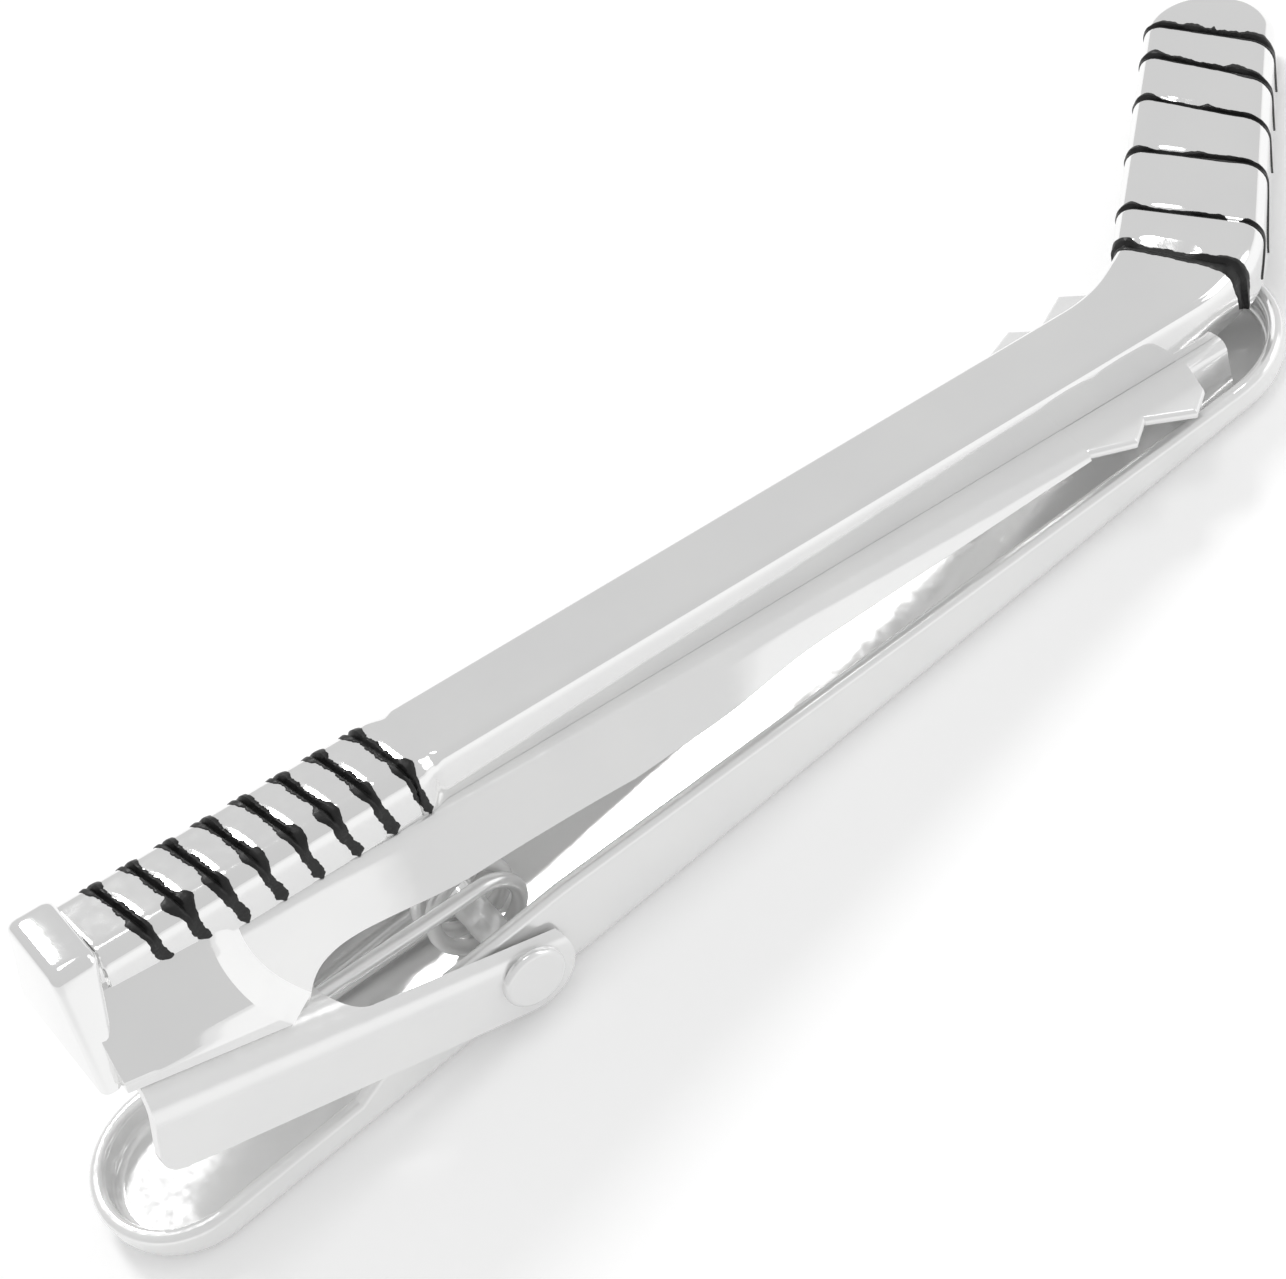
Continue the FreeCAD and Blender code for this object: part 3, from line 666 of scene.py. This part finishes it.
def channel_section(half, top, depth, lean, corner, count=24):
    """A closed section of bent sheet, open downwards, with rounded bends and lower edges, in y and z."""
    reach = half + depth * math.tan(math.radians(lean))
    low = top - depth
    outer = Edge(rounded_path([(reach, low), (half, top), (0, top)], (corner,)))
    inner = Edge(rounded_path([(reach - SHEET, low), (half - SHEET, top - SHEET), (0, top - SHEET)],
                              (max(corner - SHEET, 0.1),)))
    side = outer.at(np.linspace(0, outer.length[-1], count))
    lining = inner.at(np.linspace(0, inner.length[-1], count))
    angles = np.linspace(0, math.pi, 7)[1:-1]
    lip = np.stack([reach - SHEET / 2 + SHEET / 2 * np.cos(angles), low - 0.1 * np.sin(angles)], axis=-1)
    near = np.concatenate([lining[::-1], lip[::-1], side])
    far = near[::-1] * (-1, 1)
    return np.concatenate([near, far])


def make_channel(name, places, halves, depths, leans, corner):
    rings = []
    for x, half, depth, lean in zip(places, halves, depths, leans):
        section = channel_section(half, SHAFT_BOTTOM - 0.01, depth, lean, min(corner, depth * 0.7))
        rings.append(np.column_stack([np.full(len(section), x), section]))
    faces = tube_faces(len(rings), len(rings[0]))
    return make_object(name, to_world(np.concatenate(rings)), faces, PRESSED)


def make_jaw_walls():
    places = np.concatenate([np.arange(JAW_NOSE, 11, 0.08), np.arange(11, JAW_WALL_END, 0.4),
                             [JAW_WALL_END]])
    halves = JAW_NOSE_HALF + JAW_SPREAD * (places - JAW_NOSE)
    return make_channel("jaw_channel", places, halves, jaw_depth(places), jaw_lean(places), 0.5)


def make_jaw_teeth():
    """A flat plate whose edges carry two teeth each side, with softened edges."""
    corners = [(JAW_WALL_END - PLATE_LEAD, PLATE_BACK_HALF), (JAW_WALL_END, PLATE_HALF)]
    for index in range(TOOTH_COUNT):
        start = JAW_WALL_END + index * TOOTH_PITCH
        side = PLATE_HALF + index * TOOTH_SPREAD
        corners += [(start + TOOTH_PEAK * TOOTH_PITCH, side + TOOTH_HEIGHT), (start + TOOTH_PITCH, side)]
    corners += [(JAW_WALL_END + TOOTH_COUNT * TOOTH_PITCH + PLATE_STEP, JAW_TIP_HALF),
                (JAW_TIP, JAW_TIP_HALF - PLATE_TAPER)]
    corners = np.array(corners)
    places = np.unique(np.concatenate([np.arange(corners[0, 0], JAW_TIP, 0.08), corners[:, 0]]))
    halves = np.interp(places, corners[:, 0], corners[:, 1])
    top = SHAFT_BOTTOM - 0.015
    angles = np.linspace(-math.pi / 2, math.pi / 2, 9)
    points = []
    for x, half in zip(places, halves):
        edge = [(half - PLATE_ROUND + PLATE_ROUND * math.cos(a), top - SHEET / 2 + SHEET / 2 * math.sin(a))
                for a in angles]
        ring = [(half - PLATE_FLAT, top - SHEET)] + edge + [(half - PLATE_FLAT, top)]
        ring += [(-y, z) for y, z in reversed(ring)]
        points += [(x, y, z) for y, z in ring]
    faces = tube_faces(len(places), len(ring))
    return make_object("jaw_teeth", to_world(points), faces, PRESSED)


def make_jaw_tip():
    places = np.linspace(JAW_WALL_END + TOOTH_COUNT * TOOTH_PITCH + 0.1, JAW_TIP, 14)
    depths = SHAFT_BOTTOM - floor_height(places) - 0.12
    halves = np.full(len(places), JAW_TIP_HALF)
    return make_channel("jaw_tip", places, halves, depths, np.full(len(places), 6.0), 0.35)


# The spring

def spring_points():
    """Leg on the tray floor, turns round the rivet, leg under the web, in the world's millimetres."""
    centre = np.array([HINGE[0], HINGE[1] + SPRING_LIFT])
    seat = SHEET + SPRING_SEAT + WIRE_RADIUS
    slope = math.atan(WEB_SLOPE)
    edge = np.array([BRACKET_BACK, 0, -KNOB_HEIGHT]) + BRACKET_WEB_REACH * np.array(
        [math.cos(slope), 0, -math.sin(slope)]) - seat * np.array([math.sin(slope), 0, math.cos(slope)])
    edge = to_world(edge)[[0, 2]] / MM
    floor_seat = np.array([edge[0] - SPRING_REACH, seat])

    def tangent(point):
        away = point - centre
        leg = math.sqrt(away @ away - SPRING_RADIUS ** 2)
        return math.atan2(away[1], away[0]), leg, math.atan2(leg, SPRING_RADIUS)

    low_angle, low_leg, low_turn = tangent(floor_seat)
    high_angle, high_leg, high_turn = tangent(edge)
    first = low_angle + low_turn
    last = high_angle - high_turn
    last += 2 * math.pi * (SPRING_TURNS + math.ceil((first - last) / (2 * math.pi)))
    climb = -SPRING_PITCH / (2 * math.pi)
    angles = np.linspace(first, last, 150)
    turns = np.stack([centre[0] + SPRING_RADIUS * np.cos(angles), climb * (angles - (first + last) / 2),
                      centre[1] + SPRING_RADIUS * np.sin(angles)], axis=-1)
    headings = np.stack([-SPRING_RADIUS * np.sin(angles), np.full_like(angles, climb),
                         SPRING_RADIUS * np.cos(angles)], axis=-1)
    headings /= np.linalg.norm(headings, axis=1)[:, None]
    low = [turns[0] - headings[0] * low_leg * share for share in np.linspace(1, 0, 12)[:-1]]
    high = [turns[-1] + headings[-1] * (high_leg + SPRING_REACH) * share
            for share in np.linspace(0, 1, 16)[1:]]
    return np.concatenate([low, turns, high])


def make_spring(sides=20):
    path = spring_points()
    heading = np.gradient(path, axis=0)
    heading /= np.linalg.norm(heading, axis=1)[:, None]
    across = np.array([0.0, 1.0, 0.0]) - heading * heading[:, 1:2]
    across /= np.linalg.norm(across, axis=1)[:, None]
    upward = np.cross(heading, across)
    angles = np.linspace(0, 2 * math.pi, sides, endpoint=False)
    ring = np.cos(angles)[None, :, None] * across[:, None] + np.sin(angles)[None, :, None] * upward[:, None]
    points = (path[:, None] + WIRE_RADIUS * ring).reshape(-1, 3) * MM
    faces = tube_faces(len(path), sides)
    return make_object("wound_spring", points, faces, WIRE_STEEL, body=None)


stick = make_stick()
knob = make_knob()
foot = make_foot()
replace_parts(stick, "stick_casting")
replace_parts(knob, "stick_casting")
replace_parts(foot, "stick_casting")
for make in (make_jaw_walls, make_jaw_teeth, make_jaw_tip):
    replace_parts(make(), "upper_jaw")

# Enamel lines: bumps are (place along the section, spread, reach behind, reach ahead)
FAR_CORNER = (0.25, 0.05, 0.16, 0.16)
GRIP_CORNER_BLOBS = ((0.16, 0.1), (0.42, 0.4), (0.2, 0.12), (0.22, 0.14), (0.12, 0.16), (0.26, 0.16),
                     (0.2, 0.1), (0.14, 0.24))
for index, (mark, (behind, ahead)) in enumerate(zip(GRIP_MARKS, GRIP_CORNER_BLOBS), 1):
    line = make_line("grip_line_%d" % index, mark, 40 + index, ((0.24, 0.3), (0.24, 0.3)),
                     (FAR_CORNER, (0.73, 0.035, behind, ahead)), drift=0.35)
    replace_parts(line, "grip_enamel_%d" % index)

BLADE_EDGES = (((0.26, 0.15), (0.2, 0.3)), ((0.15, 0.15), (0.14, 0.3)), ((0.17, 0.1), (0.12, 0.35)),
               ((0.16, 0.1), (0.12, 0.35)), ((0.18, 0.12), (0.2, 0.4)), ((0.18, 0.12), (0.24, 0.45)))
BLADE_BUMPS = (((0.25, 0.05, 0.0, 0.2), (0.78, 0.1, 0.25, 0.1)),
               ((0.27, 0.03, 0.0, 0.2),),
               ((0.26, 0.03, 0.0, 0.16), (0.5, 0.06, 0.0, 0.12), (0.62, 0.1, 0.05, 0.08)),
               ((0.27, 0.03, 0.0, 0.2), (0.53, 0.03, 0.0, 0.14), (0.64, 0.1, 0.03, 0.06)),
               ((0.28, 0.03, 0.0, 0.2), (0.64, 0.03, 0.0, 0.2), (0.7, 0.05, 0.1, 0.05)),
               ((0.3, 0.04, 0.0, 0.12), (0.42, 0.03, 0.0, 0.12), (0.53, 0.01, 0.0, 0.2),
                (0.68, 0.05, 0.05, 0.05)))
BLADE_DRIFTS = (0.0, -0.9, -2.4, -0.5, -0.4, -0.3)
BROKEN_LINE = ((0.0, 0.66), (0.7, 0.97))
blade_lines = zip(BLADE_MARKS, BLADE_EDGES, BLADE_BUMPS, BLADE_DRIFTS)
for index, (mark, edges, bumps, drift) in enumerate(blade_lines, 1):
    spans = BROKEN_LINE if index == 2 else ((0.0, 1.0),)
    for number, part in enumerate(spans):
        name = "blade_line_%d" % index + ("_side" if number else "")
        line = make_line(name, mark, 80 + index, edges, bumps, drift, part)
        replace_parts(line, "blade_enamel_%d" % index)

spring = make_spring()
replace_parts(spring, "torsion_spring")
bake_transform(spring)

for name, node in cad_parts.items():
    if name in ("lower_arm", "hinge_bracket", "hinge_rivet"):
        node.data.materials.clear()
        node.data.materials.append(PRESSED)


# Floor, light and camera

def seen_rays(nodes, links):
    """One where the camera, a reflection or a refraction looks, and nought for other light."""
    path = nodes.new("ShaderNodeLightPath")
    total = path.outputs["Is Camera Ray"]
    for name in ("Is Glossy Ray", "Is Transmission Ray"):
        node = nodes.new("ShaderNodeMath")
        node.operation = "MAXIMUM"
        links.new(total, node.inputs[0])
        links.new(path.outputs[name], node.inputs[1])
        total = node.outputs[0]
    return total


def lit_patch(nodes, links):
    """The floor's glow: even under and around the clip, fading out in a ring further away."""
    place = nodes.new("ShaderNodeNewGeometry")
    length = nodes.new("ShaderNodeVectorMath")
    length.operation = "LENGTH"
    links.new(place.outputs["Position"], length.inputs[0])
    fade = nodes.new("ShaderNodeMapRange")
    fade.interpolation_type = "SMOOTHSTEP"
    fade.inputs["From Min"].default_value = 0.05
    fade.inputs["From Max"].default_value = 0.085
    fade.inputs["To Min"].default_value = 0.14
    fade.inputs["To Max"].default_value = 0.0
    links.new(length.outputs["Value"], fade.inputs["Value"])
    return fade.outputs["Result"]


def make_floor():
    size = 0.6
    mesh = bpy.data.meshes.new("floor")
    corners = [(-size, -size, 0), (size, -size, 0), (size, size, 0), (-size, size, 0)]
    mesh.from_pydata(corners, [], [(0, 1, 2, 3)])
    material, nodes, links, base = shader("pale_floor")
    base.inputs["Base Color"].default_value = (0.93, 0.93, 0.93, 1)
    base.inputs["Roughness"].default_value = 0.9
    base.inputs["Specular IOR Level"].default_value = 0.0
    base.inputs["Emission Color"].default_value = (1, 1, 1, 1)
    glow = nodes.new("ShaderNodeMath")
    glow.operation = "MULTIPLY"
    links.new(seen_rays(nodes, links), glow.inputs[0])
    links.new(lit_patch(nodes, links), glow.inputs[1])
    links.new(glow.outputs[0], base.inputs["Emission Strength"])
    mesh.materials.append(material)
    floor = bpy.data.objects.new("floor", mesh)
    bpy.context.scene.collection.objects.link(floor)


def make_world():
    world = bpy.data.worlds.new("studio")
    bpy.context.scene.world = world
    world.use_nodes = True
    background = world.node_tree.nodes["Background"]
    background.inputs["Color"].default_value = (0.66, 0.66, 0.66, 1)
    background.inputs["Strength"].default_value = 1.0


def make_softbox(name, direction, distance, size, radiance):
    """A round lamp that faces the clip, with its diameter and distance in metres."""
    lamp = bpy.data.lights.new(name, "AREA")
    lamp.shape = "DISK"
    lamp.size = size
    lamp.energy = radiance * math.pi * math.pi * size * size / 4
    box = bpy.data.objects.new(name, lamp)
    toward = Vector(direction).normalized()
    box.location = toward * distance
    box.rotation_euler = toward.to_track_quat("Z", "Y").to_euler()
    bpy.context.scene.collection.objects.link(box)


def make_camera():
    azimuth = math.radians(11.907)
    elevation = math.radians(49.472)
    roll = math.radians(-29.749)
    target = Vector((0.957, 3.350, 3.6)) * MM
    distance = 179.746 * MM
    forward = Vector((math.sin(azimuth) * math.cos(elevation), math.cos(azimuth) * math.cos(elevation),
                      -math.sin(elevation)))
    level = Vector((math.cos(azimuth), -math.sin(azimuth), 0))
    upright = level.cross(forward)
    right = math.cos(roll) * level + math.sin(roll) * upright
    up = math.cos(roll) * upright - math.sin(roll) * level
    camera = bpy.data.cameras.new("camera")
    camera.sensor_fit = "HORIZONTAL"
    camera.sensor_width = 36
    camera.lens = 139.58
    camera.clip_start = 0.01
    viewer = bpy.data.objects.new("camera", camera)
    viewer.matrix_world = Matrix.Translation(target - forward * distance) @ Matrix(
        (right, up, -forward)).transposed().to_4x4()
    bpy.context.scene.collection.objects.link(viewer)
    bpy.context.scene.camera = viewer


make_floor()
make_world()
make_softbox("key_softbox", (0.095, 0.681, 0.722), 0.5, 0.135, 16.0)
make_softbox("top_softbox", (0.2, 0.145, 0.969), 1.0, 0.31, 4.0)
make_softbox("side_softbox", (0.8, -0.2, 0.57), 0.5, 0.2, 1.1)
make_softbox("low_softbox", (0.85, -0.5, 0.2), 0.5, 0.36, 1.0)
make_camera()
bpy.context.scene.view_settings.view_transform = "Standard"
